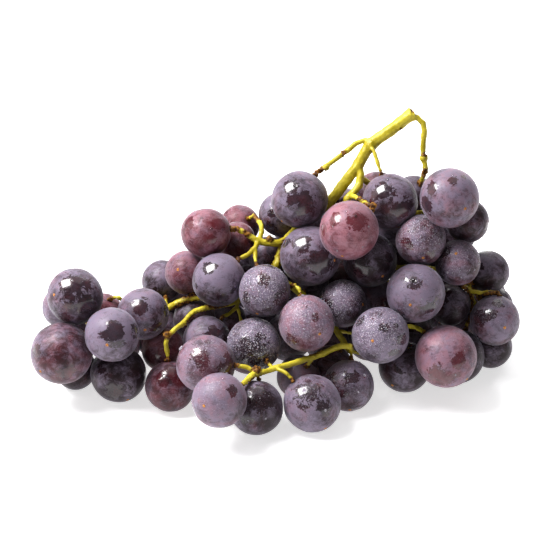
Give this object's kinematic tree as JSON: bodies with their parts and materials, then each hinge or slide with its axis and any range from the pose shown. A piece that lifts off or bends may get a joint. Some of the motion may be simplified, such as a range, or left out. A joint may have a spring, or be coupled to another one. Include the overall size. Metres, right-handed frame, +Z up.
{
  "type": "bunch of grapes",
  "caption": "Bunch of red-black table grapes lying on its side, with round bloomed berries packed on a branching yellow-green stem.",
  "frame": {"origin": "middle of the base of the lying bunch, on the surface it rests on", "axes": "+X along the bunch from its thin tail to its broad shoulder, +Y to the side away from its open face, +Z up"},
  "size_m": [0.1874, 0.114, 0.0983],
  "materials": {
    "dark_skin": "violet-black grape skin under a grey waxy bloom, rubbed glossy in places, with water drops",
    "red_skin": "less ripe red grape skin under a thin waxy bloom, with water drops",
    "stem": "fresh yellow-green grape stem with brown knots and tips"
  },
  "bodies": {
    "root": {"berries_back_low_left": "dark_skin", "berries_back_low_right": "dark_skin", "berries_back_middle": "dark_skin", "berries_back_top": "dark_skin", "berries_back_upper": "dark_skin", "berries_core_low": "dark_skin", "berries_core_middle": "dark_skin", "berries_inner_left": "dark_skin", "berries_under_front": "dark_skin", "berry_crown_1": "dark_skin", "berry_crown_2": "dark_skin", "berry_crown_3": "red_skin", "berry_crown_4": "dark_skin", "berry_crown_5": "dark_skin", "berry_crown_6": "dark_skin", "berry_front_1": "dark_skin", "berry_front_10": "dark_skin", "berry_front_2": "dark_skin", "berry_front_3": "dark_skin", "berry_front_4": "dark_skin", "berry_front_5": "dark_skin", "berry_front_6": "dark_skin", "berry_front_7": "dark_skin", "berry_front_8": "dark_skin", "berry_front_9": "dark_skin", "berry_left_1": "dark_skin", "berry_left_2": "red_skin", "berry_left_3": "red_skin", "berry_left_4": "red_skin", "berry_left_5": "dark_skin", "berry_left_6": "dark_skin", "berry_left_7": "dark_skin", "berry_left_8": "red_skin", "berry_left_9": "dark_skin", "berry_right_1": "dark_skin", "berry_right_2": "dark_skin", "berry_right_3": "dark_skin", "berry_right_4": "dark_skin", "berry_right_5": "dark_skin", "berry_right_6": "red_skin", "berry_right_7": "dark_skin", "berry_shoulder_1": "dark_skin", "berry_shoulder_2": "dark_skin", "berry_shoulder_3": "dark_skin", "berry_shoulder_4": "dark_skin", "berry_shoulder_5": "dark_skin", "berry_shoulder_6": "dark_skin", "berry_tail_1": "dark_skin", "berry_tail_10": "red_skin", "berry_tail_2": "dark_skin", "berry_tail_3": "dark_skin", "berry_tail_4": "dark_skin", "berry_tail_5": "dark_skin", "berry_tail_6": "red_skin", "berry_tail_7": "dark_skin", "berry_tail_8": "dark_skin", "berry_tail_9": "dark_skin", "stem": "stem"}
  },
  "joints": []
}
